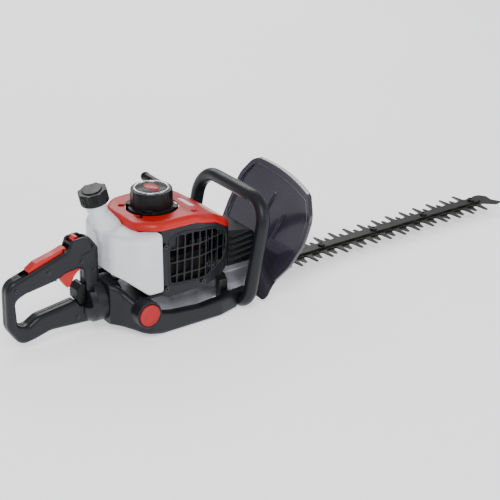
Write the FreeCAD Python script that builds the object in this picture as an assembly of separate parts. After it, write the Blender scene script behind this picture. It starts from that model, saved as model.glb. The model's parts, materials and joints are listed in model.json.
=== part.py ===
"""Petrol hedge trimmer with a double-sided blade, built as separate sub-parts.

Frame: millimetres, +Z up, +X forward along the blade, +Y to the operator's left.
The origin is on the ground, under the middle of the machine's length and width.
"""
import FreeCAD
import Part
import math
import os

os.makedirs("parts", exist_ok=True)
V = FreeCAD.Vector

# ---- driving dimensions -------------------------------------------------------------
HALF_LENGTH = 540.0         # the machine is 1080 mm long
PITCH = 35.0                # tooth pitch of both blades
STROKE_RADIUS = PITCH / 4   # throw of each eccentric
BLADE_THICK = 2.6
LOWER_BLADE_Z = 16.2
UPPER_BLADE_Z = 19.1
BAR_Z = 22.0                # underside of the guide bar
BAR_THICK = 3.6
BAR_HALF_WIDTH = 10.0
WEB_HALF_WIDTH = 13.0       # half width of a blade without its teeth
UPPER_TIP_Y = 44.0          # tooth tips of the upper blade
LOWER_TIP_Y = 33.0          # tooth tips of the lower blade
FIRST_FAR_TOOTH_X = 22.5
NEAR_TOOTH_SHIFT = 12.6     # near-side teeth stand this much further forward
TOOTH_COUNT = 14            # on each side of the upper blade
BOLT_X = (-13.5, 111.5, 236.5, 361.5, 486.5)
BOLT_R = 4.0

CRANK_X = -254.0            # engine, starter, clutch and pinion axis
MODULE = 1.25
PINION_TEETH = 12
GEAR_TEETH = 48
GEAR_X = CRANK_X + MODULE * (PINION_TEETH + GEAR_TEETH) / 2
GEAR_Z = (24.4, 32.9)
ECCENTRIC_R = 16.0
GEAR_SHAFT_R = 6.0
DRUM_SHAFT_R = 5.0
RUNNING_GAP = 0.05          # radial clearance of shafts in their bearings
YOKE_GAP = 0.22 * STROKE_RADIUS + 0.3

CASE_BOTTOM = 6.0
CASE_SPLIT = 24.0
CASE_TOP = 46.0
CASE_FRONT_X = -62.0
DRUM_R = 29.0
CLUTCH_TOP = 74.0
CRANKCASE_TOP = 128.0
CYLINDER_Z = 101.0
PRIMER_Z = 58.0

SWIVEL_X = -364.0           # plane where the rear handle meets the frame
SWIVEL_Z = 52.0             # height of the swivel axis
SWIVEL_R = 38.0
SOCKET_R = 24.0
GRIP_HALF = 14.0            # half thickness of the rear handle

TUBE_R = 12.0               # front handle tube
HANDLE_Y = 100.0
HANDLE_TOP_Z = 192.0

GUARD_FOOT_X = -78.0
GUARD_FOOT_Z = 13.0
GUARD_LEAN = 0.70
GUARD_THICK = 3.2
GUARD_SKEW = 0.07           # the guard's left edge stands this much further forward, per mm of Y
GUARD_RIM = 5.0             # height of its rim, towards the operator

DAMPER_X = -320.0
DAMPER_Z = 43.0
ARM_Y = 95.0                # outer face of the frame's side arms

STARTER_R = 35.5
STARTER_Z = (190.0, 226.0)
CAP_R = 24.5
CAP_H = 22.0
NECK_R = 17.0
NECK_BASE = V(-350, 0, 172)
NECK_TOP = V(-363.5, 0, 231)
PULL_ANGLE = 25.0           # the starter cord is pulled this much above level
GRIP_POS = V(-212, 54, 208)
GRIP_SPAN = 34.0            # from the middle of the starter grip to each rounded end

NODES = {}


# ---- small helpers ----------------------------------------------------------------------
def box(x, y, z):
    """Block between the pairs x, y and z."""
    return Part.makeBox(x[1] - x[0], y[1] - y[0], z[1] - z[0], V(x[0], y[0], z[0]))


def rod(radius, start, end):
    """Round bar from start to end."""
    return Part.makeCylinder(radius, (end - start).Length, start, end - start)


def upright(radius, x, y, z):
    """Round bar standing along Z."""
    return rod(radius, V(x, y, z[0]), V(x, y, z[1]))


def across(radius, x, z, y):
    """Round bar lying along Y."""
    return rod(radius, V(x, y[0], z), V(x, y[1], z))


def cone(r0, r1, start, end):
    return Part.makeCone(r0, r1, (end - start).Length, start, end - start)


def hexagon(radius, start, end):
    """Hexagonal bar from start to end."""
    turn = [math.radians(60 * k) for k in range(6)]
    flat = Part.makePolygon([V(radius * math.cos(a), radius * math.sin(a), 0) for a in turn + turn[:1]])
    bar = Part.Face(flat).extrude(V(0, 0, (end - start).Length))
    return placed(bar, start, end - start)


def placed(shape, origin, direction):
    """Copy of a shape made along +Z, moved to origin with +Z turned to direction."""
    copy = shape.copy()
    turn = FreeCAD.Rotation(V(0, 0, 1), direction)
    copy.Placement = FreeCAD.Placement(origin, turn).multiply(copy.Placement)
    return copy


def mirrored(shape):
    """The same shape on the other side of the machine."""
    return shape.mirror(V(0, 0, 0), V(0, 1, 0))


def both(shape):
    return [shape, mirrored(shape)]


def fused(shapes):
    return shapes[0].multiFuse(shapes[1:]).removeSplitter()


def carved(shape, tools):
    """Shape with each tool cut away in turn."""
    for tool in tools:
        shape = shape.cut(tool)
    return shape


def corner_arc(before, at, after, radius):
    """Ends and middle of the arc that rounds one corner of an outline."""
    a = (before - at).normalize()
    b = (after - at).normalize()
    half = a.getAngle(b) / 2
    reach = radius / math.tan(half)
    centre = at + (a + b).normalize() * (radius / math.sin(half))
    return at + a * reach, centre + (at - centre).normalize() * radius, at + b * reach


def outline(corners, lift):
    """Face inside a closed outline of (a, b, corner radius), put in space by lift(a, b)."""
    points = [V(a, b, 0) for a, b, _ in corners]
    stops = []
    for k, (_, _, radius) in enumerate(corners):
        before, at, after = points[k - 1], points[k], points[(k + 1) % len(points)]
        stops.append(corner_arc(before, at, after, radius) if radius else (at, None, at))
    edges = []
    for k, (start, middle, end) in enumerate(stops):
        following = stops[(k + 1) % len(stops)][0]
        if middle is not None:
            edges.append(Part.Arc(*[lift(p.x, p.y) for p in (start, middle, end)]).toShape())
        if (following - end).Length > 1e-6:
            edges.append(Part.LineSegment(lift(end.x, end.y), lift(following.x, following.y)).toShape())
    return Part.Face(Part.Wire(edges))


def plan(corners, z):
    """Outline in X and Y, extruded between the two heights z."""
    return outline(corners, lambda a, b: V(a, b, z[0])).extrude(V(0, 0, z[1] - z[0]))


def side(corners, y):
    """Outline in X and Z, extruded between the two places y."""
    return outline(corners, lambda a, b: V(a, y[0], b)).extrude(V(0, y[1] - y[0], 0))


def front(corners, x):
    """Outline in Y and Z, extruded between the two places x."""
    return outline(corners, lambda a, b: V(x[0], a, b)).extrude(V(x[1] - x[0], 0, 0))


def symmetric(corners):
    """Full outline from its half on the -Y side."""
    return corners + [(a, -b, r) for a, b, r in reversed(corners)]


def grown(corners, amount, z):
    """Plan outline offset outwards by amount, extruded between the heights z."""
    face = outline(corners, lambda a, b: V(a, b, z[0]))
    return Part.Face(face.makeOffset2D(amount).Wires[0]).extrude(V(0, 0, z[1] - z[0]))


def rounded(shape, radius, pick):
    """Shape with the edges that pick(box, middle) accepts rounded off."""
    return shape.makeFillet(radius, [e for e in shape.Edges if pick(e.BoundBox, e.CenterOfMass)])


def is_upright(box_of_edge):
    return box_of_edge.XLength < 0.01 and box_of_edge.YLength < 0.01


def save(name, shapes):
    """Write one node; several solids of one node stay separate solids."""
    shapes = shapes if isinstance(shapes, list) else [shapes]
    solids = [solid for shape in shapes for solid in shape.Solids]
    shape = solids[0] if len(solids) == 1 else Part.makeCompound(solids)
    NODES[name] = shape
    shape.exportStep("parts/" + name + ".step")


def screw(at, direction, head_r=4.0, head_h=3.0, length=14.0):
    """Round-headed screw; `at` is under its head and direction points out of the head."""
    body = upright(head_r, 0, 0, (0, head_h)).fuse(upright(head_r / 2, 0, 0, (-length, 0)))
    recess = hexagon(head_r * 0.5, V(0, 0, head_h * 0.45), V(0, 0, head_h + 1))
    return placed(body.cut(recess), at, direction)


def gear_blank(teeth, z, backlash):
    """Spur gear with involute flanks, standing on the Z axis with a tooth towards +X."""
    pitch_r = MODULE * teeth / 2
    base_r = pitch_r * math.cos(math.radians(20))
    tip_r = pitch_r + 0.9 * MODULE
    root_r = pitch_r - 1.2 * MODULE
    half = math.pi / (2 * teeth) - backlash / (2 * pitch_r)
    roll_at_pitch = math.tan(math.radians(20)) - math.radians(20)
    flank = [(root_r, half + roll_at_pitch)]
    steps = 5
    for k in range(steps + 1):
        radius = max(base_r, root_r) + (tip_r - max(base_r, root_r)) * k / steps
        press = math.acos(min(1.0, base_r / radius))
        flank.append((radius, half + roll_at_pitch - (math.tan(press) - press)))
    points = []
    for tooth in range(teeth):
        middle = 2 * math.pi * tooth / teeth
        for radius, angle in flank:
            points.append(V(radius * math.cos(middle - angle), radius * math.sin(middle - angle), z[0]))
        for radius, angle in reversed(flank):
            points.append(V(radius * math.cos(middle + angle), radius * math.sin(middle + angle), z[0]))
    return Part.Face(Part.makePolygon(points + points[:1])).extrude(V(0, 0, z[1] - z[0]))


# ---- blades -----------------------------------------------------------------------------
def tooth(x, tip_y):
    """One cutting tooth that points to +Y or -Y; broad at the root, blunt at the tip."""
    sign = 1 if tip_y > 0 else -1
    root = sign * (WEB_HALF_WIDTH - 1)
    waist = sign * (WEB_HALF_WIDTH + 8)
    half = [(-9.5, root), (-5.2, waist), (-2.2, tip_y)]
    points = half + [(-a, b) for a, b in reversed(half)]
    return [V(x + a, b, 0) for a, b in points]


def blade(z, tip_y, far_teeth, near_teeth, end_x):
    """Flat blade: driven head, web with bolt slots, and teeth on both sides."""
    top = V(0, 0, BLADE_THICK)
    head_x = ECCENTRIC_R + YOKE_GAP
    head_y = ECCENTRIC_R + STROKE_RADIUS + 0.3
    head = plan([(GEAR_X - head_x - 7, -head_y - 7, 8), (GEAR_X + head_x + 7, -head_y - 7, 8),
                 (GEAR_X + head_x + 7, head_y + 7, 8), (GEAR_X - head_x - 7, head_y + 7, 8)],
                (z, z + BLADE_THICK))
    web = box((GEAR_X + head_x + 3, end_x), (-WEB_HALF_WIDTH, WEB_HALF_WIDTH), (z, z + BLADE_THICK))
    pieces = [head, web]
    for side_y, places in ((tip_y, far_teeth), (-tip_y, near_teeth)):
        for x in places:
            flat = Part.Face(Part.makePolygon(tooth(x, side_y) + tooth(x, side_y)[:1]))
            flat.translate(V(0, 0, z))
            pieces.append(flat.extrude(top))
    body = fused(pieces)
    cuts = [box((GEAR_X - head_x, GEAR_X + head_x), (-head_y, head_y), (z - 1, z + BLADE_THICK + 1))]
    reach = STROKE_RADIUS + BOLT_R + 0.4
    for x in BOLT_X:
        slot = [(x - reach, -BOLT_R - 0.3, 4), (x + reach, -BOLT_R - 0.3, 4),
                (x + reach, BOLT_R + 0.3, 4), (x - reach, BOLT_R + 0.3, 4)]
        cuts.append(plan(slot, (z - 1, z + BLADE_THICK + 1)))
    return body.cut(cuts)


def make_blades():
    far = [FIRST_FAR_TOOTH_X + PITCH * k for k in range(TOOTH_COUNT)]
    near = [x + NEAR_TOOTH_SHIFT for x in far]
    nose = plan([(500, -13, 0), (510, -22, 4), (524, -35, 3), (HALF_LENGTH + 0.5, -30.5, 1.5),
                 (531, -12, 6), (534, 6, 6), (525, 20, 7), (510, 21, 6), (500, 13, 0)],
                (UPPER_BLADE_Z, UPPER_BLADE_Z + BLADE_THICK))
    upper = blade(UPPER_BLADE_Z, UPPER_TIP_Y, far, near, 500).fuse(nose).removeSplitter()
    save("upper_blade", upper)
    half = PITCH / 2
    lower = blade(LOWER_BLADE_Z, LOWER_TIP_Y, [x + half for x in far[:-1]],
                  [x - half for x in near], 508)
    save("lower_blade", lower)
    bar = plan([(-150, -BAR_HALF_WIDTH, 3), (508, -BAR_HALF_WIDTH, 9.9), (508, BAR_HALF_WIDTH, 9.9),
                (-150, BAR_HALF_WIDTH, 3)], (BAR_Z, BAR_Z + BAR_THICK))
    save("guide_bar", bar.cut([upright(BOLT_R, x, 0, (0, 60)) for x in BOLT_X]))
    bolts = []
    nuts = []
    for x in BOLT_X:
        top = BAR_Z + BAR_THICK
        head = upright(6.5, x, 0, (top, top + 3.6)).cut(hexagon(3, V(x, 0, top + 1.4), V(x, 0, top + 5)))
        bolts.append(head.fuse(upright(BOLT_R, x, 0, (9.4, top))))
        washer = upright(9.0, x, 0, (14.4, 15.8))
        nut = hexagon(6.6, V(x, 0, 9.0), V(x, 0, 14.4))
        nuts.append(washer.fuse(nut).cut(upright(BOLT_R, x, 0, (0, 30))))
    save("blade_bolts", bolts)
    save("blade_nuts", nuts)


# ---- gear case and drive ------------------------------------------------------------------
CASE_PLAN = symmetric([(-276, -20, 18), (-244, -42, 18), (-190, -44, 26), (-150, -32, 20),
                       (CASE_FRONT_X, -30, 6)])


def make_gear_case():
    gear_hollow = upright(33.0, GEAR_X, 0, (20, 33.5)).fuse(upright(11.0, CRANK_X, 0, (20, 33.5)))
    boss = plan([(-150, -30, 5), (CASE_FRONT_X - 4, -30, 8), (CASE_FRONT_X - 4, 30, 8), (-150, 30, 5)],
                (CASE_TOP - 1, CASE_TOP + 12))
    upper = plan(CASE_PLAN, (CASE_SPLIT, CASE_TOP)).fuse(boss)
    bar_room = box((-151, 0), (-BAR_HALF_WIDTH, BAR_HALF_WIDTH), (20, BAR_Z + BAR_THICK))
    core = box((-140, -80), (-22, 22), (32, CASE_TOP + 8))
    upper = upper.cut([gear_hollow, bar_room, core, upright(11, CRANK_X, 0, (33, 50)),
                       upright(12, GEAR_X, 0, (33, 43))])
    save("gear_case_upper", upper)
    lower = plan(CASE_PLAN, (CASE_BOTTOM, CASE_SPLIT))
    head_room = box((GEAR_X - 35.5, GEAR_X + 38), (-33.5, 33.5), (12, 30))
    web_room = box((GEAR_X, 0), (-15, 15), (12, 30))
    lower = lower.cut([head_room, web_room, upright(GEAR_SHAFT_R + RUNNING_GAP, GEAR_X, 0, (9, 13))])
    skid = plan([(-135, -26, 8), (-66, -26, 8), (-66, 26, 8), (-135, 26, 8)], (0, CASE_BOTTOM))
    places = [(-262, 27), (-225, 39.5), (-185, 38.5), (-162, 31), (-75, 26.5)]
    screws = [screw(V(x, s * y, CASE_BOTTOM), V(0, 0, -1), 3.2, 2.4, 12) for x, y in places for s in (-1, 1)]
    save("gear_case_lower", carved(fused([lower, skid]), screws))
    save("gear_case_screws", screws)
    bearings = []
    for outer_r, shaft_r, x, z in ((12, GEAR_SHAFT_R, GEAR_X, (35, 43)), (11, DRUM_SHAFT_R, CRANK_X, (36, 45))):
        bearings.append(upright(outer_r, x, 0, z).cut(upright(shaft_r + RUNNING_GAP, x, 0, (30, 50))))
    save("gear_bearings", bearings)


def make_drive():
    pinion = gear_blank(PINION_TEETH, GEAR_Z, 0.30)
    pinion.translate(V(CRANK_X, 0, 0))
    shaft = upright(DRUM_SHAFT_R, CRANK_X, 0, (GEAR_Z[1], 53))
    cup = upright(DRUM_R, CRANK_X, 0, (52, 69)).cut(upright(DRUM_R - 2, CRANK_X, 0, (55, 70)))
    save("clutch_drum", fused([pinion, shaft, cup]))
    gear = gear_blank(GEAR_TEETH, GEAR_Z, 0.30)
    gear.rotate(V(0, 0, 0), V(0, 0, 1), 180.0 / GEAR_TEETH + 180)
    gear.translate(V(GEAR_X, 0, 0))
    holes = [upright(3, GEAR_X + 23.5 * math.cos(a), 23.5 * math.sin(a), (20, 40))
             for a in (math.radians(k) for k in (-17, 17, 163, 197))]
    upper = upright(ECCENTRIC_R, GEAR_X, STROKE_RADIUS, (UPPER_BLADE_Z + 0.1, GEAR_Z[0]))
    lower = upright(ECCENTRIC_R, GEAR_X, -STROKE_RADIUS, (LOWER_BLADE_Z, UPPER_BLADE_Z - 0.1))
    link = upright(GEAR_SHAFT_R + 1, GEAR_X, 0, (LOWER_BLADE_Z, GEAR_Z[0]))
    spindle = upright(GEAR_SHAFT_R, GEAR_X, 0, (9.4, 42.6))
    save("crank_gear", fused([gear.cut(holes), upper, lower, link, spindle]))
    wall = upright(38, CRANK_X, 0, (CASE_TOP, CLUTCH_TOP)).fuse(
        plan(symmetric([(-292, -36, 8), (-216, -36, 8)]), (CLUTCH_TOP - 5, CLUTCH_TOP)))
    save("clutch_housing", wall.cut(upright(33, CRANK_X, 0, (CASE_TOP + 3, CLUTCH_TOP + 1)))
         .cut(upright(11, CRANK_X, 0, (CASE_TOP - 1, CASE_TOP + 4))))


# ---- engine -------------------------------------------------------------------------------
def make_engine():
    case = plan(symmetric([(-292, -36, 10), (-216, -36, 4)]), (CLUTCH_TOP, CRANKCASE_TOP))
    case = case.cut([upright(27, CRANK_X, 0, (81, 121)),
                     upright(8 + RUNNING_GAP, CRANK_X, 0, (CLUTCH_TOP - 1, CRANKCASE_TOP + 1)),
                     rod(17.05, V(CRANK_X, 0, CYLINDER_Z), V(-210, 0, CYLINDER_Z))])
    save("crankcase", case)
    webs = upright(25, CRANK_X, 0, (84, 93)).fuse(upright(25, CRANK_X, 0, (109, 118)))
    journals = upright(8, CRANK_X, 0, (58, 86)).fuse(upright(8, CRANK_X, 0, (116, 163)))
    pin = upright(6, CRANK_X - 14, 0, (92, 110))
    save("crankshaft", fused([webs, journals, pin]))
    barrel = rod(23, V(-216, 0, CYLINDER_Z), V(-146, 0, CYLINDER_Z))
    fins = [box((x, x + 2.2), (-34, 34), (75, 127)) for x in [-208 + 7.4 * k for k in range(9)]]
    flange = box((-216, -210), (-34, 34), (75, 127))
    ports = [box((-200, -170), (-36, 36), (88, 114))]
    bore = rod(17.05, V(-217, 0, CYLINDER_Z), V(-152, 0, CYLINDER_Z))
    save("cylinder", fused([barrel, flange] + fins + ports).cut([bore, rod(5, V(-153, 0, CYLINDER_Z),
                                                                        V(-140, 0, CYLINDER_Z))]))
    piston = rod(17.0, V(-205, 0, CYLINDER_Z), V(-178, 0, CYLINDER_Z)).cut(
        rod(13.5, V(-206, 0, CYLINDER_Z), V(-184, 0, CYLINDER_Z)))
    grooves = [rod(18, V(x, 0, CYLINDER_Z), V(x + 1.2, 0, CYLINDER_Z)).cut(
        rod(15.8, V(x, 0, CYLINDER_Z), V(x + 1.2, 0, CYLINDER_Z))) for x in (-187, -183)]
    save("piston", piston.cut(grooves))
    plug = fused([rod(5, V(-151, 0, CYLINDER_Z), V(-140, 0, CYLINDER_Z)),
                  hexagon(9, V(-146, 0, CYLINDER_Z), V(-137, 0, CYLINDER_Z)),
                  cone(6, 4, V(-137, 0, CYLINDER_Z), V(-112, 0, CYLINDER_Z))])
    plug = plug.cut(rod(30, V(-160, 0, CYLINDER_Z), V(-146, 0, CYLINDER_Z)).cut(
        rod(5, V(-160, 0, CYLINDER_Z), V(-146, 0, CYLINDER_Z))))
    save("spark_plug", plug)
    boot = rod(9, V(-130, 0, CYLINDER_Z), V(-104, 0, CYLINDER_Z)).fuse(
        rod(6, V(-111, 0, CYLINDER_Z), V(-111, 0, CYLINDER_Z + 20)))
    save("spark_plug_boot", boot.cut(cone(6, 4, V(-137, 0, CYLINDER_Z), V(-112, 0, CYLINDER_Z))))


def make_rotor():
    disc = upright(44, CRANK_X, 0, (134, 140)).fuse(upright(14, CRANK_X, 0, (130, 150)))
    vanes = []
    for k in range(16):
        vane = box((20, 43.5), (-1.2, 1.2), (139, 156))
        vane.rotate(V(24, 0, 0), V(0, 0, 1), 28)
        vane.rotate(V(0, 0, 0), V(0, 0, 1), 22.5 * k)
        vane.translate(V(CRANK_X, 0, 0))
        vanes.append(vane.common(upright(43.9, CRANK_X, 0, (139, 156))))
    save("flywheel", fused([disc] + vanes).cut(upright(8, CRANK_X, 0, (120, 170))))
    hub = upright(12, CRANK_X, 0, (57, 67)).cut(upright(8, CRANK_X, 0, (50, 70)))
    ring = upright(26.2, CRANK_X, 0, (58, 66)).cut(upright(13, CRANK_X, 0, (50, 70)))
    gap = box((CRANK_X - 40, CRANK_X + 40), (-2.5, 2.5), (50, 70))
    key = box((CRANK_X - 16, CRANK_X + 16), (-2.2, 2.2), (58, 66)).cut(upright(8, CRANK_X, 0, (50, 70)))
    springs = [across(3, CRANK_X + s * 19.5, 62, (-2.4, 2.4)) for s in (-1, 1)]
    save("clutch_shoes", ring.cut(gap).Solids + [hub.fuse(key)] + springs)


def make_fuel_and_air():
    muffler = side([(-276, 72, 10), (-192, 72, 10), (-192, 126, 10), (-276, 126, 10)], (-72, -44))
    chamber = side([(-274.5, 73.5, 8), (-193.5, 73.5, 8), (-193.5, 124.5, 8), (-274.5, 124.5, 8)],
                   (-70.5, -45.5))
    neck = box((-200, -172), (-45, -36), (90, 112))
    outlet = rod(7, V(-262, -60, 84), V(-262, -60, 62))
    pipe = rod(5.5, V(-262, -60, 80), V(-262, -60, 61))
    port = box((-194, -178), (-50, -30), (95, 107))
    save("muffler", fused([muffler.cut(chamber), neck, outlet.cut(chamber)]).cut([pipe, port]))
    manifold = box((-200, -170), (36, 46), (88, 114)).cut(across(9, -185, CYLINDER_Z, (30, 50)))
    save("intake_block", manifold)
    body = side([(-206, 84, 4), (-166, 84, 4), (-166, 118, 4), (-206, 118, 4)], (46, 66))
    bowl = across(11, -186, 95, (46, 66)).fuse(upright(9, -186, 56, (76, 86)))
    save("carburettor", fused([body, bowl]).cut(across(8, -185, CYLINDER_Z, (40, 70))))
    base = side([(-226, 74, 8), (-146, 74, 8), (-146, 136, 12), (-226, 136, 12)], (66, 69))
    bracket = box((-244, -225), (66, 69), (92, 110)).cut(across(3.05, -239, 101, (60, 75)))
    primer_seat = across(12, -186, PRIMER_Z, (62, 72)).cut(across(8.8, -186, PRIMER_Z, (66, 73)))
    base = fused([base, bracket, primer_seat, box((-196, -176), (66, 69), (56, 76))])
    intake_bore = across(8, -185, CYLINDER_Z, (60, 75))
    primer_seat = across(8.8, -186, PRIMER_Z, (66, 73))
    save("air_filter_base", base.cut([intake_bore, primer_seat]))
    cover = side([(-228, 72, 10), (-144, 72, 10), (-144, 138, 14), (-228, 138, 14)], (69, 95))
    room = side([(-225, 75, 8), (-147, 75, 8), (-147, 135, 11), (-225, 135, 11)], (68, 92))
    ribs = [box((x, x + 2), (95, 96.2), (84, 126)) for x in (-214, -206, -198, -174, -166, -158)]
    save("air_filter_cover", fused([cover.cut(room)] + ribs).cut(across(3, -186, CYLINDER_Z, (90, 100))))
    save("air_filter_foam", side([(-222, 78, 6), (-150, 78, 6), (-150, 132, 9), (-222, 132, 9)], (72, 88))
         .cut(across(7.6, -186, CYLINDER_Z, (60, 95))))
    save("filter_knob", across(8, -186, CYLINDER_Z, (96.3, 103)).fuse(across(3, -186, CYLINDER_Z, (71, 97))))
    lever = side([(-243, 96, 3), (-235, 96, 3), (-233, 124, 4), (-245, 124, 4)], (78, 82))
    save("choke_lever", lever.fuse(across(3.0, -239, 101, (66, 78))))
    dome = cone(8.5, 5.5, V(-186, 72.2, PRIMER_Z), V(-186, 82, PRIMER_Z))
    save("primer_bulb", dome.fuse(across(8.5, -186, PRIMER_Z, (70.2, 72.2))))


# ---- covers, tank and starter -----------------------------------------------------------------
ENVELOPE = symmetric([(-321, -46, 30), (-292, -76, 40), (-206, -80, 60), (-146, -64, 30), (-120, -36, 24)])
RIM_LINE = [(-330, 180), (-215, 180), (-170, 166), (-112, 130)]
CROWN_LINE = [(-330, 189, 0), (-300, 194, 30), (-216, 194, 60), (-170, 181, 60), (-112, 142, 0)]


def below_crown(drop):
    """Block under the red cover's crown, lowered by drop."""
    top = [(x, z - drop, r) for x, z, r in CROWN_LINE]
    return side([(-330, 0, 0)] + top + [(-112, 0, 0)], (-120, 120))


def below_rim():
    return side([(-330, 0, 0)] + [(x, z, 0) for x, z in RIM_LINE] + [(-112, 0, 0)], (-120, 120))


def make_cover():
    def on_crown(b, _):
        return b.ZMin > 138 and not is_upright(b) and not (b.YLength > 100 and b.XLength < 0.01)

    shell = rounded(grown(ENVELOPE, -0.01, (100, 210)).common(below_crown(0)), 12, on_crown).cut(below_rim())
    room = rounded(grown(ENVELOPE, -3.0, (90, 210)).common(below_crown(3)), 9, on_crown)
    rope_notch = upright(11.5, CRANK_X + 19, 50, (150, 210))
    mouth = upright(STARTER_R + 10.5, CRANK_X, 0, (150, 210)).fuse(rope_notch)
    shell = shell.cut(room)
    spots = [(-296, -30), (-296, 30), (-205, -56), (-205, 56)]
    cups = [upright(7.5, x, y, (184.4, 191.5)) for x, y in spots]
    wells = [upright(5.5, x, y, (187, 200)) for x, y in spots]
    shell = carved(fused([shell] + cups), [mouth] + wells + [upright(2.1, x, y, (170, 190)) for x, y in spots])
    save("engine_cover", shell)
    return [screw(V(x, y, 187), V(0, 0, 1), 4.2, 2.6, 16) for x, y in spots]


def make_guard_grille():
    wall = grown(ENVELOPE, -0.6, (46, 190)).cut(grown(ENVELOPE, -4.0, (40, 200)))
    reach = box((-284, -112), (-90, -38), (40, 200))
    foot = side([(-284, 62, 0), (-270, 56, 0), (-200, 60, 0), (-160, 66, 0), (-128, 84, 0), (-112, 92, 0),
                 (-112, 200, 0), (-284, 200, 0)], (-90, 0))
    wall = wall.common(reach).common(foot).common(below_rim())
    window = side([(-268, 80, 10), (-196, 78, 20), (-152, 92, 20), (-144, 132, 16), (-176, 158, 26),
                   (-236, 168, 14), (-268, 160, 14)], (-95, -36))
    bars = []
    for k in range(8):
        x = -258 + 14.5 * k
        bars.append(side([(x, 60, 0), (x + 3, 60, 0), (x + 9, 180, 0), (x + 6, 180, 0)], (-95, -36)))
    for k in range(4):
        z = 92 + 24 * k
        bars.append(box((-275, -120), (-95, -36), (z, z + 2.6)))
    lattice = window.common(fused(bars)).common(wall)
    spots = ((-277, -78.0, 152), (-277, -78.0, 74), (-205, -79.4, 70))
    screws = [screw(V(x, y, z), V(0, -1, 0), 4, 3, 10) for x, y, z in spots]
    save("muffler_guard", carved(fused([wall.cut(window), lattice]), screws))
    return screws


def make_tank():
    corners = [(-284, -84, 5), (-326, -84, 36), (-360, -42, 30), (-360, 44, 30), (-328, 84, 34),
               (-292, 84, 5), (-292, 60, 4), (-310, 58, 5), (-310, -54, 5), (-284, -54, 4)]
    under = side([(-370, 115, 0), (-345, 100, 20), (-312, 72, 14), (-270, 72, 0), (-270, 0, 0), (-370, 0, 0)],
                 (-100, 100))
    body = plan(corners, (60, 179.6)).cut(under)
    body = rounded(body, 5, lambda b, m: b.ZMax < 120 and not is_upright(b) and (abs(m.y) > 62 or m.x < -330))
    body = rounded(body, 8, lambda b, m: b.ZMin > 179.5 and (m.x < -328 or abs(m.y) > 80))
    inner_under = under.copy()
    inner_under.translate(V(0, 0, 3))
    room = grown(corners, -3.0, (60, 176.6)).cut(inner_under)
    along = (NECK_TOP - NECK_BASE).normalize()
    neck = rod(NECK_R, NECK_BASE, NECK_TOP)
    clearance = box((-400, -361), (-60, 60), (100, 176))
    collar = placed(upright(NECK_R + 3.5, 0, 0, (-9, -5)), NECK_TOP, along)
    shoulder_line = (V(-338, 0, 166), V(-357, 0, 208))
    shoulder = cone(27, NECK_R - 2.5, *shoulder_line).cut(grown(ENVELOPE, 0.4, (100, 220)))
    tank = fused([body, neck.cut(clearance), collar, shoulder])
    bore = rod(NECK_R - 3, NECK_BASE, NECK_TOP + along)
    save("fuel_tank", carved(tank, [room, bore, cone(23, NECK_R - 6, *shoulder_line)]))
    gap = 0.4
    cap = upright(CAP_R - 1.5, 0, 0, (-3.5, CAP_H - 4)).fuse(upright(CAP_R, 0, 0, (-3.5, 3)))
    lobes = []
    for k in range(8):
        a = math.radians(45 * k)
        lobes.append(upright(4.6, (CAP_R - 3.6) * math.cos(a), (CAP_R - 3.6) * math.sin(a), (2, CAP_H - 4)))
    cap = fused([cap] + lobes).cut(upright(NECK_R + gap, 0, 0, (-5, 2.0)))
    cap = cap.fuse(upright(CAP_R - 8, 0, 0, (CAP_H - 5, CAP_H - 2)))
    save("fuel_cap", placed(cap, NECK_TOP, along))
    seal = upright(NECK_R - 0.5, 0, 0, (0, 2.0)).cut(upright(NECK_R - 6, 0, 0, (-1, 3)))
    save("fuel_cap_seal", placed(seal, NECK_TOP, along))


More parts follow.
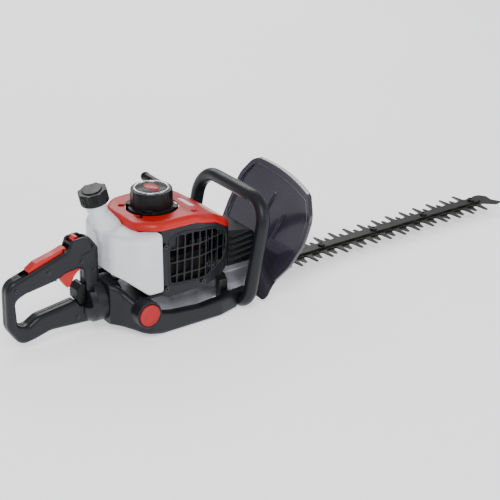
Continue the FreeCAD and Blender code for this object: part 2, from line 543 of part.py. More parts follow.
def make_starter():
    fan = upright(54, CRANK_X, 0, (CRANKCASE_TOP, 165)).cut(upright(50, CRANK_X, 0, (131, 166)))
    save("fan_housing", fan.cut(upright(20, CRANK_X, 0, (120, 135))))
    shell = upright(46, CRANK_X, 0, (165, 184)).cut(upright(43, CRANK_X, 0, (164, 182)))
    drum = upright(STARTER_R, CRANK_X, 0, (183, STARTER_Z[1])).cut(
        upright(STARTER_R - 3.5, CRANK_X, 0, (181, STARTER_Z[1] - 4)))
    lugs = []
    for k in range(4):
        lug = plan([(30, -9, 0), (50, -7, 5), (50, 7, 5), (30, 9, 0)], (183, 197))
        lug.rotate(V(0, 0, 0), V(0, 0, 1), 45 + 90 * k)
        lug.translate(V(CRANK_X, 0, 0))
        lugs.append(lug.common(upright(STARTER_R + 9.5, CRANK_X, 0, (180, 200))))
    flange = upright(STARTER_R + 5, CRANK_X, 0, (184, 194))
    post = upright(6, CRANK_X, 0, (168, STARTER_Z[1] - 3))
    body = fused([shell, drum, flange] + lugs).cut(upright(STARTER_R - 3.5, CRANK_X, 0, (181, 200)))
    body = body.fuse(post)
    mouth = rod(4, V(CRANK_X, 28, 176), V(CRANK_X + 70, 28, 176))
    body = body.cut(mouth)
    ring = upright(30.5, CRANK_X, 0, (STARTER_Z[1], STARTER_Z[1] + 1.2)).cut(
        upright(28, CRANK_X, 0, (STARTER_Z[1] - 1, STARTER_Z[1] + 2)))
    badge = Part.makeSphere(60, V(CRANK_X, 0, STARTER_Z[1] - 56.5)).common(
        upright(24, CRANK_X, 0, (STARTER_Z[1], STARTER_Z[1] + 6)))
    save("starter_badge", [badge, ring])
    reel = fused([upright(40, CRANK_X, 0, (168, 170)), upright(40, CRANK_X, 0, (179, 181)),
                  upright(24, CRANK_X, 0, (168, 181))]).cut(upright(6 + RUNNING_GAP, CRANK_X, 0, (160, 190)))
    wound = upright(34, CRANK_X, 0, (170.3, 178.7)).cut(upright(24, CRANK_X, 0, (160, 190)))
    save("starter_reel", [reel, wound])
    pull = V(math.cos(math.radians(PULL_ANGLE)), 0, math.sin(math.radians(PULL_ANGLE)))
    start = GRIP_POS - V(0, GRIP_SPAN, 0)
    end = GRIP_POS + V(0, GRIP_SPAN, 0)
    grip = fused([rod(7.6, start, end), Part.makeSphere(8.6, start), Part.makeSphere(8.6, end),
                  rod(6, GRIP_POS, GRIP_POS - pull * 16)])
    save("starter_grip", grip.cut(rod(2.2, GRIP_POS - pull * 20, GRIP_POS - pull * 2)))
    seat = GRIP_POS - pull * 16.5
    foot = V(CRANK_X + 17, 35, 192)
    eye = fused([rod(8, seat - pull * 9, seat), rod(5, foot, seat - pull * 8)])
    eye = eye.cut(rod(3, seat - pull * 12, seat + pull))
    save("starter_housing", fused([body, eye]))
    save("starter_rope", rod(1.8, seat - pull * 6, GRIP_POS - pull * 2.4))


# ---- frame and handles ----------------------------------------------------------------------
def make_frame():
    u_shape = plan(symmetric([(SWIVEL_X, -38, 0), (-350, -52, 18), (-326, -ARM_Y, 26), (-176, -ARM_Y, 30),
                              (-108, -78, 8), (-108, -60, 4), (-168, -72, 20), (-298, -72, 26),
                              (-336, -34, 10)]), (-5, 120))
    profile = side([(SWIVEL_X, 90, 0), (-346, 82, 30), (-318, 47, 30), (-272, 34, 60), (-214, 29, 60),
                    (-160, 33, 20), (-106, 31, 0), (-106, 2, 0), (-182, 0, 30), (-296, 0, 40),
                    (-334, 9, 40), (SWIVEL_X, 14, 0)], (-120, 120))
    body = rounded(u_shape.common(profile), 7, lambda b, m: not is_upright(b) and b.XMin > SWIVEL_X + 0.1
                   and b.XMax < -109)
    socket = rod(SWIVEL_R, V(SWIVEL_X, 0, SWIVEL_Z), V(-340, 0, SWIVEL_Z))
    rear_bosses = both(across(23.5, DAMPER_X, DAMPER_Z, (-ARM_Y + 1, -70)))
    front_bosses = both(across(13, -150, 20, (-84, -66)))
    body = fused([body, socket] + rear_bosses + front_bosses)
    holes = [rod(SOCKET_R, V(SWIVEL_X - 1, 0, SWIVEL_Z), V(-330, 0, SWIVEL_Z))]
    holes += both(across(16, DAMPER_X, DAMPER_Z, (-ARM_Y - 5, -60)))
    holes += both(across(19.6, DAMPER_X, DAMPER_Z, (-ARM_Y - 5, -ARM_Y + 4)))
    holes += both(across(9, -150, 20, (-80, -60)))
    holes += both(box((DAMPER_X - 13, DAMPER_X + 13), (-62.5, -30), (29, 100)))
    holes += [tube(handle_path(), TUBE_R)]
    holes += both(box((-126 - TUBE_R, -126 + TUBE_R), (-HANDLE_Y - 9, -40), (-5, TUBE_R + 0.3)))
    save("main_frame", carved(body, holes))
    rubber = across(15.8, DAMPER_X, DAMPER_Z, (-ARM_Y + 4, -62)).cut(across(5, DAMPER_X, DAMPER_Z, (-ARM_Y, -60)))
    small = across(8.8, -150, 20, (-80, -62)).cut(across(3, -150, 20, (-81, -60)))
    save("vibration_dampers", both(rubber) + both(small))
    cap = across(19.4, DAMPER_X, DAMPER_Z, (-ARM_Y - 1, -ARM_Y + 3.9))
    save("damper_caps", both(cap))
    bolts = across(4.9, DAMPER_X, DAMPER_Z, (-ARM_Y + 8, -56)).fuse(across(2.9, -150, 20, (-80, -56)))
    save("damper_bolts", both(bolts))
    deck = plan(symmetric([(-332, -40, 8), (-300, -40, 10), (-296, -46, 0), (-166, -46, 0), (-140, -56, 6),
                           (-134, -40, 4)]), (CASE_TOP, CASE_TOP + 5))
    ears = both(box((DAMPER_X - 11, DAMPER_X + 11), (-61.8, -38), (31, CASE_TOP + 5)))
    front_ears = both(box((-158, -142), (-61.8, -48), (12, CASE_TOP + 5)))
    base = fused([deck] + ears + front_ears)
    base = base.cut([upright(38.1, CRANK_X, 0, (30, 60)), box((-150, -60), (-30.2, 30.2), (40, 60))]
                    + both(across(5, DAMPER_X, DAMPER_Z, (-70, -30))) + both(across(3, -150, 20, (-70, -40))))
    base = base.cut(plan(CASE_PLAN, (CASE_BOTTOM, CASE_TOP)))
    save("engine_base", base)


def handle_path():
    foot_z = TUBE_R + 0.3
    corners = [V(-126, -56, foot_z), V(-126, -HANDLE_Y, foot_z), V(-86, -HANDLE_Y, HANDLE_TOP_Z),
               V(-86, HANDLE_Y, HANDLE_TOP_Z), V(-126, HANDLE_Y, foot_z), V(-126, 56, foot_z)]
    radii = [0, 26, 46, 46, 26, 0]
    edges = []
    last = corners[0]
    for k in range(1, 5):
        start, middle, end = corner_arc(corners[k - 1], corners[k], corners[k + 1], radii[k])
        edges += [Part.LineSegment(last, start).toShape(), Part.Arc(start, middle, end).toShape()]
        last = end
    edges.append(Part.LineSegment(last, corners[5]).toShape())
    return Part.Wire(edges)


def tube(path, radius):
    start = path.Edges[0].Vertexes[0].Point
    circle = Part.Wire(Part.makeCircle(radius, start, path.Edges[0].tangentAt(path.Edges[0].FirstParameter)))
    return path.makePipeShell([circle], True, False)


def make_front_handle():
    path = handle_path()
    save("front_handle", tube(path, TUBE_R).cut(tube(path, TUBE_R - 2.2)))
    bridge = plan([(-140, -56, 6), (-112, -56, 6), (-112, 56, 6), (-140, 56, 6)], (1.5, 5.8))
    feet = bridge.cut(box((-136, -60), (-27, 27), (0, 6)))
    save("front_bridge", feet.Solids)


def guard_point(y, z):
    lean = GUARD_FOOT_X + GUARD_LEAN * (z - GUARD_FOOT_Z)
    sweep = 0.0023 * max(0.0, z - 90) ** 2
    return V(lean - sweep * (y / 110.0) ** 2 + GUARD_SKEW * y, y, z)


def guard_sheet(thick):
    """Curved slab of the blade guard, before its outline is cut."""
    grid = [[guard_point(y, z) for z in range(-5, 206, 15)] for y in range(-150, 151, 25)]
    surface = Part.BSplineSurface()
    surface.interpolate(grid)
    return surface.toShape().extrude(V(thick, 0, 0))


GUARD_NEAR = [(-99, 5, 10), (-97, 34, 30), (-117, 66, 40), (-123, 104, 40), (-116, 148, 34), (-84, 175, 30)]
GUARD_FAR = [(98, 190, 26), (125, 152, 40), (128, 104, 40), (118, 66, 40), (95, 32, 40), (92, 5, 10)]


def make_guard():
    corners = GUARD_NEAR + GUARD_FAR
    shape = front(corners, (-140, 80))
    rim_line = outline(corners, lambda a, b: V(-140, a, b)).makeOffset2D(-10)
    inner = Part.Face(rim_line.Wires[0]).extrude(V(220, 0, 0))
    doorway = front([(-37, -20, 0), (-37, 66, 10), (37, 66, 10), (37, -20, 0)], (-160, 40))
    plate = guard_sheet(GUARD_THICK).common(shape)
    raised = guard_sheet(GUARD_THICK + GUARD_RIM)
    raised.translate(V(-GUARD_RIM, 0, 0))
    rim = raised.common(shape.cut(inner)).cut(box((-200, 200), (-200, 200), (-5, 40)))
    ribs = []
    for y, z in ((16, (112, 148)), (-35, (90, 130))):
        ribs.append(raised.common(box((-200, 200), (y - 1.2, y + 1.2), z)))
    save("blade_guard", fused([plate, rim] + ribs).cut(doorway))


def d_shape():
    outer = [(-366, 150, 10), (-382, 173, 14), (-414, 173, 14), (-428, 158, 12), (-502, 134, 20),
             (-538, 123, 24), (-HALF_LENGTH, 44, 30), (-518, 10, 20), (-492, 14, 30), (-462, 22, 40),
             (-366, 16, 0)]
    inner = [(-394, 121, 12), (-428, 117, 8), (-450, 108, 14), (-504, 100, 16), (-523, 92, 12), (-521, 46, 10),
             (-505, 42, 14), (-485, 54, 24), (-394, 66, 8)]
    return outer, inner


LOCK_OUTLINE = [(-394, 54, 3), (-405, 54, 5), (-412, 64, 9), (-412, 82, 9), (-403, 91, 5), (-396, 91, 2)]
LOCK_PIVOT = (-388.0, 72.0)
LOCK_GAP = 2.1              # all-round gap that lets the lock lever rock


def make_rear_handle():
    outer, inner = d_shape()
    pins = [across(2.45, -403, 125, (-12, 12)), across(2.05, -429, 158, (-12, 12)),
            across(2.05, *LOCK_PIVOT, (-12, 12))]
    body = side(outer, (-GRIP_HALF, GRIP_HALF)).cut(side(inner, (-30, 30)))
    body = rounded(body, 8, lambda b, m: b.YLength < 0.01)
    switch_block = side([(-421, 160, 2), (-415, 174, 8), (-392, 175.5, 8), (-384, 168, 3), (-380, 150, 3),
                         (-401, 144, 3)], (-GRIP_HALF - 1, GRIP_HALF + 1))
    hook = side([(-453, 112, 0), (-444, 104, 1), (-440, 106, 1), (-440, 122, 0), (-453, 122, 0)], (-5, 5))
    collar = rod(SWIVEL_R, V(SWIVEL_X - 20, 0, SWIVEL_Z), V(SWIVEL_X - 0.3, 0, SWIVEL_Z))
    tapers = [cone(31, SWIVEL_R, V(SWIVEL_X - 31, 0, SWIVEL_Z), V(SWIVEL_X - 20, 0, SWIVEL_Z)),
              cone(20, 31, V(SWIVEL_X - 38, 0, SWIVEL_Z), V(SWIVEL_X - 31, 0, SWIVEL_Z))]
    tapers = [taper.common(box((-410, -380), (-60, 60), (14, 78))) for taper in tapers]
    spigot = rod(SOCKET_R - RUNNING_GAP, V(SWIVEL_X - 20, 0, SWIVEL_Z), V(-335.7, 0, SWIVEL_Z))
    body = fused([body, collar, spigot, switch_block, hook] + tapers)
    bore = rod(SOCKET_R - 5, V(SWIVEL_X - 12, 0, SWIVEL_Z), V(-330, 0, SWIVEL_Z))
    hollows = [box((-388, -373), (-8, 8), (92, 150)), box((-500, -450), (-8, 8), (120, 128))]
    trigger_room = side([(-443, 98, 0), (-395, 98, 0), (-395, 134, 0), (-443, 134, 0)], (-8, 8))
    lever_room = side([(-508, 121, 0), (-418, 148, 0), (-418, 178, 0), (-508, 150, 0)], (-9.5, 9.5))
    lock_face = outline(LOCK_OUTLINE, lambda a, b: V(a, -60, b)).makeOffset2D(LOCK_GAP)
    lock_room = Part.Face(lock_face.Wires[0]).extrude(V(0, 120, 0))
    hub_room = side([(-398, 60, 0), (-380, 60, 0), (-380, 84, 0), (-398, 84, 0)], (-9, 9))
    switch_room = box((-416, -388), (-9, 9), (165, 180))
    body = carved(body, [bore, trigger_room, lever_room, lock_room, hub_room, switch_room] + hollows + pins)
    save("lever_pins", pins)
    near_side = box((-600, -300), (-80, 0), (-50, 220))
    save("handle_shell_near", body.common(near_side))
    save("handle_shell_far", body.cut(near_side))
    heads = []
    for x, z in ((-522, 112), (-462, 128), (-376, 154), (-378, 112), (-400, 133), (-412, 34)):
        heads.append(across(3.4, x, z, (-GRIP_HALF - 1.2, -GRIP_HALF)).cut(
            hexagon(1.8, V(x, -GRIP_HALF - 2, z), V(x, -GRIP_HALF - 0.5, z))))
    save("handle_screws", heads)
    retainer = rod(SOCKET_R + 4, V(-335.7, 0, SWIVEL_Z), V(-332, 0, SWIVEL_Z)).cut(
        rod(8, V(-340, 0, SWIVEL_Z), V(-330, 0, SWIVEL_Z)))
    save("swivel_retainer", retainer)


def make_controls():
    trigger = side([(-407, 130, 4), (-398, 130, 4), (-397, 119, 4), (-411, 108, 14), (-420, 91, 2),
                    (-426, 89, 2), (-437, 106, 10), (-437, 118, 4), (-420, 122, 8)], (-7, 7))
    pivot = across(2.5, -403, 125, (-20, 20))
    save("throttle_trigger", trigger.cut(pivot))
    lever = side([(-424, 156, 2), (-424, 164, 3), (-446, 157, 14), (-482, 148, 14), (-497, 138, 3),
                  (-494, 133, 3)], (-8, 8))
    save("lockout_lever", lever.cut(across(2.1, -429, 158, (-20, 20))))
    save("stop_switch", box((-411, -399), (-8, 8), (167, 172.5)).fuse(
        side([(-410, 172, 0), (-400, 172, 0), (-402, 177, 1.5), (-408, 177, 1.5)], (-7, 7))))
    lock = side(LOCK_OUTLINE, (1 - GRIP_HALF, GRIP_HALF - 1))
    hub = side([(-398, 65, 0), (-384, 65, 4), (-384, 79, 4), (-398, 79, 0)], (-8, 8))
    grooves = [across(1.3, -412.6, 58 + 4.8 * k, (-20, 20)) for k in range(6)]
    save("swivel_lock", carved(lock.fuse(hub), grooves + [across(2.1, *LOCK_PIVOT, (-20, 20))]))


def make_front_cover():
    skin = side([(-126, 60, 0), (-68, 60, 6), (-62, 84, 10), (-70, 118, 16), (-126, 128, 0)], (-38, 38))
    room = side([(-127, 63, 0), (-71, 63, 4), (-65.5, 84, 8), (-73, 115, 13), (-127, 125, 0)], (-35, 35))
    ribs = []
    for k in range(5):
        z = 70 + 11 * k
        slat = [(-122, z - 4, 0), (-122, z - 1, 0), (-74, z + 5, 0), (-74, z + 2, 0)]
        ribs += both(side(slat, (-39.5, -37)))
    save("cylinder_cover", fused([skin.cut(room)] + ribs))


def make_coil():
    coil = box((-214, -196), (40, 62), (136, 156))
    save("ignition_coil", coil.fuse(box((-214, -202), (54, 60), (128, 137))))


def main():
    make_blades()
    make_gear_case()
    make_drive()
    make_engine()
    make_rotor()
    make_fuel_and_air()
    save("cover_screws", make_cover() + make_guard_grille())
    make_tank()
    make_starter()
    make_frame()
    make_front_handle()
    make_guard()
    make_rear_handle()
    make_controls()
    make_front_cover()
    make_coil()
    for name, shape in NODES.items():
        b = shape.optimalBoundingBox()
        state = "ok" if shape.isValid() else "INVALID"
        print(f"{name:20s} {len(shape.Solids)} {state} {shape.Volume / 1000:8.1f} cm3 "
              f"x {b.XMin:.0f}..{b.XMax:.0f} y {b.YMin:.0f}..{b.YMax:.0f} z {b.ZMin:.1f}..{b.ZMax:.1f}")
    print(len(NODES), "nodes")


main()
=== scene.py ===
"""Looks for a petrol hedge trimmer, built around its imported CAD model.

Metres, +Z up, +X along the blade, +Y to the operator's left, origin on the ground.
"""
import json
import math

import bmesh
import bpy
from mathutils import Matrix, Vector
from mathutils.bvhtree import BVHTree


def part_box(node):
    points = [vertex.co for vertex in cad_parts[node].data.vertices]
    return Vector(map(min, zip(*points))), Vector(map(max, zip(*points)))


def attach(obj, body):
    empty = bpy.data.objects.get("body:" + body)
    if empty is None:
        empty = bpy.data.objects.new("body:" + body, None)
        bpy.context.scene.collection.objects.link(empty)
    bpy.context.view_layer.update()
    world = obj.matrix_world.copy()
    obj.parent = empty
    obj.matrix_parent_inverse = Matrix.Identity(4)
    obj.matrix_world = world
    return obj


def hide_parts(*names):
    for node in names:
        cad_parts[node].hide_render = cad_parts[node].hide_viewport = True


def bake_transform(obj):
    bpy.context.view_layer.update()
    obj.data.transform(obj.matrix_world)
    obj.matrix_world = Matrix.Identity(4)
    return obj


MM = 0.001

# Places on the CAD model: the starter drum's axis, the filler neck's top and the way it leans.
DRUM_AXIS = Vector((-0.254, 0, 0))
DRUM_R = 0.0353
NECK_TOP = Vector((-0.3635, 0, 0.231))
CAP_AXIS = Vector((-13.5, 0, 59)).normalized()
CAP_R = 0.0232
UP = (0, 0, 1)
# The grille's window in the engine's near side, as (x, z) in millimetres.
WINDOW = ((-269.5, 90), (-268, 81), (-258, 78.5), (-214, 76.5), (-196, 77), (-178, 83), (-156, 94),
          (-148, 106), (-143, 124), (-143.5, 138), (-150, 149), (-166, 157), (-188, 162), (-236, 169.5),
          (-254, 167), (-266, 162), (-269.5, 150))
BEAD_R = 0.0022
# The blank label's corners on the red cover, as (x, y) in millimetres.
LABEL = ((-196, 14), (-196, -26), (-184, -26), (-184, 14))
ROPE_TILT = math.radians(25)
ROPE_R = 0.00165
# Moulded parts: voxel size in millimetres, rounds of smoothing, share of the faces kept.
MOULDED = {
    "engine_cover": (0.9, 3, 0.35),
    "fuel_tank": (1.0, 3, 0.3),
    "main_frame": (1.1, 5, 0.3),
    "handle_shell_near": (0.9, 4, 0.35),
    "handle_shell_far": (0.9, 4, 0.35),
    "muffler_guard": (0.8, 2, 0.5),
    "cylinder_cover": (0.9, 2, 0.4),
    "starter_housing": (0.8, 3, 0.4),
    "fuel_cap": (0.6, 3, 0.4),
    "front_bridge": (0.9, 3, 0.4),
    "air_filter_cover": (0.9, 4, 0.35),
    "blade_guard": (0.9, 3, 0.35),
    "lockout_lever": (0.6, 4, 0.4),
    "throttle_trigger": (0.6, 4, 0.4),
    "stop_switch": (0.4, 3, 0.4),
    "swivel_lock": (0.5, 3, 0.4),
    "starter_grip": (0.6, 3, 0.4),
    "gear_case_upper": (0.9, 2, 0.4),
    "engine_base": (1.0, 2, 0.35),
}

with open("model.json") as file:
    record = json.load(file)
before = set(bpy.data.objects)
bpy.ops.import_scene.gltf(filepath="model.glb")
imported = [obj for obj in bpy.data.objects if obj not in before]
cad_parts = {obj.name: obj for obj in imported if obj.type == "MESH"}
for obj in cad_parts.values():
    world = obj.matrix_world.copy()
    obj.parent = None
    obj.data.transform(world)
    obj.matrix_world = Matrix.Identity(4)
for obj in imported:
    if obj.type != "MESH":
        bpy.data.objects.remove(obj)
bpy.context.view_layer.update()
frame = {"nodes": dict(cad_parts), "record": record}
SLOT_OF = {part["node"]: part["material_slot"] for part in frame["record"]["subparts"]}
BODY_OF = {node: body for body, nodes in frame["record"]["behaviour"]["bodies"].items() for node in nodes}


# ---- materials ------------------------------------------------------------------------------

class Shading:
    """A principled material whose nodes are added one at a time."""

    def __init__(self, name, **constants):
        self.material = bpy.data.materials.new(name)
        self.material.use_nodes = True
        self.tree = self.material.node_tree
        self.shader = self.tree.nodes["Principled BSDF"]
        for socket, value in constants.items():
            self.shader.inputs[socket.replace("_", " ")].default_value = value
        self.coords = self.tree.nodes.new("ShaderNodeTexCoord").outputs["Object"]

    def link(self, output, target):
        self.tree.links.new(output, target)

    def stretched(self, scale):
        mapping = self.tree.nodes.new("ShaderNodeMapping")
        mapping.inputs["Scale"].default_value = scale
        self.link(self.coords, mapping.inputs["Vector"])
        return mapping.outputs["Vector"]

    def noise(self, scale, detail=2.0, stretch=(1, 1, 1)):
        node = self.tree.nodes.new("ShaderNodeTexNoise")
        node.inputs["Scale"].default_value = scale
        node.inputs["Detail"].default_value = detail
        self.link(self.stretched(stretch), node.inputs["Vector"])
        return node.outputs["Fac"]

    def ramp(self, value, low, high, from_low=0.3, from_high=0.7):
        """Colours between low and high as value rises."""
        node = self.tree.nodes.new("ShaderNodeValToRGB")
        node.color_ramp.elements[0].position = from_low
        node.color_ramp.elements[1].position = from_high
        node.color_ramp.elements[0].color = (*low, 1)
        node.color_ramp.elements[1].color = (*high, 1)
        self.link(value, node.inputs["Fac"])
        return node.outputs["Color"]

    def span(self, value, low, high):
        node = self.tree.nodes.new("ShaderNodeMapRange")
        node.inputs["From Min"].default_value = 0.3
        node.inputs["From Max"].default_value = 0.7
        node.inputs["To Min"].default_value = low
        node.inputs["To Max"].default_value = high
        self.link(value, node.inputs["Value"])
        return node.outputs["Result"]

    def mix(self, share, first, second):
        node = self.tree.nodes.new("ShaderNodeMix")
        node.data_type = "RGBA"
        self.link(share, node.inputs["Factor"])
        self.link(first, node.inputs[6])
        self.link(second, node.inputs[7])
        return node.outputs[2]

    def worn_edges(self, colour, worn, start=0.53, end=0.62, share=0.5):
        """Colour that pales where the surface turns sharply outwards."""
        edge = self.tree.nodes.new("ShaderNodeNewGeometry").outputs["Pointiness"]
        flat = self.ramp(self.noise(3, 0), worn, worn)
        mask = self.ramp(edge, (0, 0, 0), (share, share, share), start, end)
        return self.mix(mask, colour, flat)

    def bump(self, height, strength, depth):
        node = self.tree.nodes.new("ShaderNodeBump")
        node.inputs["Strength"].default_value = strength
        node.inputs["Distance"].default_value = depth
        self.link(height, node.inputs["Height"])
        self.link(node.outputs["Normal"], self.shader.inputs["Normal"])


def tinted(colour, factor):
    return tuple(min(1.0, c * factor) for c in colour)


def plastic(name, colour, roughness, grain=1400, depth=0.00008, mottle=0.06, wear=0.35, **constants):
    s = Shading(name, **constants)
    base = s.ramp(s.noise(22, 3), tinted(colour, 1 - mottle), tinted(colour, 1 + mottle))
    if wear:
        pale = tuple(c + 0.03 for c in colour)
        base = s.worn_edges(base, pale, share=wear)
    s.link(base, s.shader.inputs["Base Color"])
    s.link(s.span(s.noise(55, 4), roughness - 0.04, roughness + 0.05), s.shader.inputs["Roughness"])
    s.bump(s.noise(grain, 2), 0.35, depth)
    return s.material


def metal(name, colour, roughness, brush=(1, 1, 1), grain=700, depth=0.00006, mottle=0.12, wear=0.4):
    s = Shading(name, Metallic=1.0)
    base = s.ramp(s.noise(40, 5, brush), tinted(colour, 1 - mottle), tinted(colour, 1 + mottle))
    if wear:
        base = s.worn_edges(base, tinted(colour, 1.9), share=wear)
    s.link(base, s.shader.inputs["Base Color"])
    s.link(s.span(s.noise(90, 4, brush), roughness - 0.07, roughness + 0.08), s.shader.inputs["Roughness"])
    s.bump(s.noise(grain, 3, brush), 0.4, depth)
    return s.material


def tank_plastic():
    """Milky polyethylene: light enters it and scatters."""
    s = Shading("tank_polyethylene", IOR=1.5, Subsurface_Weight=0.35, Subsurface_Scale=0.02,
                Subsurface_Radius=(0.9, 1.0, 1.1), Specular_IOR_Level=0.5)
    base = s.ramp(s.noise(14, 3), (0.80, 0.83, 0.92), (0.88, 0.90, 0.96))
    s.link(base, s.shader.inputs["Base Color"])
    s.link(s.span(s.noise(45, 4), 0.26, 0.36), s.shader.inputs["Roughness"])
    s.bump(s.noise(500, 3), 0.3, 0.0001)
    return s.material


def smoke_plastic():
    """Clear smoked polycarbonate with a hard gloss."""
    s = Shading("smoked_polycarbonate", IOR=1.52, Transmission_Weight=0.20, Coat_Weight=0.35,
                Coat_Roughness=0.08)
    base = s.ramp(s.noise(9, 2), (0.036, 0.030, 0.048), (0.052, 0.044, 0.066))
    s.link(base, s.shader.inputs["Base Color"])
    s.link(s.span(s.noise(35, 3), 0.10, 0.17), s.shader.inputs["Roughness"])
    s.bump(s.noise(240, 2), 0.12, 0.00006)
    return s.material


def foam_material():
    s = Shading("open_cell_foam", Sheen_Weight=0.2)
    cells = s.tree.nodes.new("ShaderNodeTexVoronoi")
    cells.inputs["Scale"].default_value = 900
    s.link(s.coords, cells.inputs["Vector"])
    s.link(s.ramp(cells.outputs["Distance"], (0.012, 0.012, 0.013), (0.06, 0.06, 0.062), 0.1, 0.8),
           s.shader.inputs["Base Color"])
    s.link(s.span(s.noise(60, 3), 0.85, 0.98), s.shader.inputs["Roughness"])
    s.bump(cells.outputs["Distance"], 0.8, 0.0006)
    return s.material


def blade_steel():
    """Dark oxidised steel, ground along its length."""
    s = Shading("blade_steel", Metallic=0.85)
    base = s.ramp(s.noise(30, 6, (1, 9, 9)), (0.024, 0.025, 0.023), (0.046, 0.047, 0.043))
    s.link(base, s.shader.inputs["Base Color"])
    s.link(s.span(s.noise(60, 5, (1, 14, 14)), 0.34, 0.50), s.shader.inputs["Roughness"])
    s.bump(s.noise(420, 3, (0.08, 1, 1)), 0.35, 0.00008)
    return s.material


RED = (0.50, 0.006, 0.004)
GRAPHITE = (0.0085, 0.0095, 0.0130)
BLACK = (0.0040, 0.0043, 0.0050)
PAINT = {
    "red_plastic": plastic("red_abs", RED, 0.34, wear=0, Specular_IOR_Level=0.40),
    "graphite_plastic": plastic("graphite_nylon", GRAPHITE, 0.34, grain=1700, depth=0.00012, wear=0.12,
                                Specular_IOR_Level=0.30),
    "black_plastic": plastic("black_nylon", BLACK, 0.30, grain=1500, depth=0.00010, wear=0.08,
                             Specular_IOR_Level=0.20),
    "tank_plastic": tank_plastic(),
    "smoke_plastic": smoke_plastic(),
    "white_plastic": plastic("pale_print", (0.78, 0.78, 0.79), 0.35, wear=0, mottle=0.02),
    "foam": foam_material(),
    "rubber": plastic("rubber", (0.009, 0.009, 0.0095), 0.66, grain=1000, depth=0.0002, wear=0),
    "blade_steel": blade_steel(),
    "steel": metal("machined_steel", (0.52, 0.52, 0.54), 0.30, (1, 1, 6)),
    "black_steel": metal("blackened_steel", (0.045, 0.045, 0.047), 0.42),
    "cast_aluminium": metal("cast_aluminium", (0.30, 0.30, 0.33), 0.46, grain=1100, depth=0.0002, wear=0.2),
    "exhaust_steel": metal("dulled_exhaust", (0.016, 0.015, 0.014), 0.62),
    "ceramic": plastic("glazed_ceramic", (0.83, 0.82, 0.78), 0.18, wear=0, Coat_Weight=0.6),
}
# Paler steel for the blades' chamfers and side walls: ground metal, and partly a painted highlight along the
# tooth edges.
GROUND_EDGE_AND_HIGHLIGHT = metal("ground_edge_and_highlight", (0.085, 0.087, 0.080), 0.32, (0.1, 1, 1), mottle=0.18, wear=0)
BRIGHT = metal("bright_ring", (0.72, 0.72, 0.74), 0.16, mottle=0.05, wear=0)
GLOSS_BLACK = plastic("gloss_black", (0.004, 0.004, 0.005), 0.26, wear=0, depth=0.00002,
                      Specular_IOR_Level=0.14)
GLOSS_RED = plastic("gloss_red", (0.40, 0.004, 0.006), 0.26, wear=0, depth=0.00002, Specular_IOR_Level=0.35)
# Painted shade: the castings deep inside the engine take a near-black colour that stands for the shade they
# sit in, not their own colour.
SHADE_DARK_CASTING = metal("shade_dark_casting", (0.075, 0.075, 0.082), 0.52, grain=1100, depth=0.0002, wear=0.2)
SHADE_DARK_PARTS = ("engine_base", "cylinder", "crankcase", "fan_housing", "clutch_housing")
NODE_PAINT = dict.fromkeys(SHADE_DARK_PARTS, SHADE_DARK_CASTING)
NODE_PAINT["lever_pins"] = PAINT["black_steel"]


def paint(piece, material):
    piece.data.materials.clear()
    piece.data.materials.append(material)
    for face in piece.data.polygons:
        face.material_index = 0


def paint_frame():
    """Every CAD part takes the material of its slot, or its own."""
    for node, part in frame["nodes"].items():
        for spot in part.material_slots:
            spot.material = NODE_PAINT.get(node, PAINT[SLOT_OF[node]])


# ---- pieces ---------------------------------------------------------------------------------

def piece_of(name, mesh, body, slot, material=None):
    piece = bpy.data.objects.new(name, mesh)
    bpy.context.scene.collection.objects.link(piece)
    paint(piece, material or PAINT[slot])
    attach(piece, body)
    return piece


def mesh_from(bm, name):
    """The bmesh as a new mesh, with the bmesh freed."""
    mesh = bpy.data.meshes.new(name)
    bm.to_mesh(mesh)
    bm.free()
    return mesh


def smooth(mesh):
    for face in mesh.polygons:
        face.use_smooth = True


def turned_to(axis):
    """The rotation that takes +Z to axis."""
    return Vector(axis).to_track_quat("Z", "X").to_matrix().to_4x4()


def surface_of(mesh):
    """What a ray can be cast against."""
    return BVHTree.FromPolygons([v.co for v in mesh.vertices], [p.vertices for p in mesh.polygons])


def applied(piece):
    """The piece's mesh with its modifiers done."""
    bpy.context.view_layer.update()
    done = bpy.data.meshes.new_from_object(piece.evaluated_get(bpy.context.evaluated_depsgraph_get()))
    piece.modifiers.clear()
    piece.data = done
    return piece


def welded(node):
    """A copy of a CAD part's mesh as one closed skin."""
    mesh = frame["nodes"][node].data.copy()
    bm = bmesh.new()
    bm.from_mesh(mesh)
    bmesh.ops.remove_doubles(bm, verts=bm.verts, dist=2e-6)
    bm.to_mesh(mesh)
    bm.free()
    return mesh


def moulded(node, voxel=0.9, rounds=4, keep=0.35, extra=(), material=None):
    """Stands for a CAD part, with corners softened as a mould leaves them. Meshes in extra melt into it."""
    piece = bpy.data.objects.new(node + "_moulded", welded(node))
    bpy.context.scene.collection.objects.link(piece)
    if extra:
        bm = bmesh.new()
        bm.from_mesh(piece.data)
        for mesh in extra:
            bm.from_mesh(mesh)
        bm.to_mesh(piece.data)
        bm.free()
    remesh = piece.modifiers.new("skin", "REMESH")
    remesh.mode = "VOXEL"
    remesh.voxel_size = voxel * MM
    remesh.use_smooth_shade = True
    soften = piece.modifiers.new("soften", "SMOOTH")
    soften.factor = 0.5
    soften.iterations = rounds
    thin = piece.modifiers.new("thin", "DECIMATE")
    thin.ratio = keep
    applied(piece)
    smooth(piece.data)
    paint(piece, material or PAINT[SLOT_OF[node]])
    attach(piece, BODY_OF[node])
    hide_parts(node)
    return piece


# ---- detail pieces --------------------------------------------------------------------------

def bars_round(centre, axis, radius, count, size, lift):
    """Mesh of small upright bars round an axis. size is (radial, around, along); lift is the bars' middle."""
    bm = bmesh.new()
    stand = Matrix.Translation(centre) @ turned_to(axis)
    for k in range(count):
        turn = Matrix.Rotation(2 * math.pi * k / count, 4, "Z")
        place = stand @ turn @ Matrix.Translation((radius, 0, lift))
        bmesh.ops.create_cube(bm, size=1, matrix=place @ Matrix.Diagonal((*size, 1)))
    return mesh_from(bm, "bars")


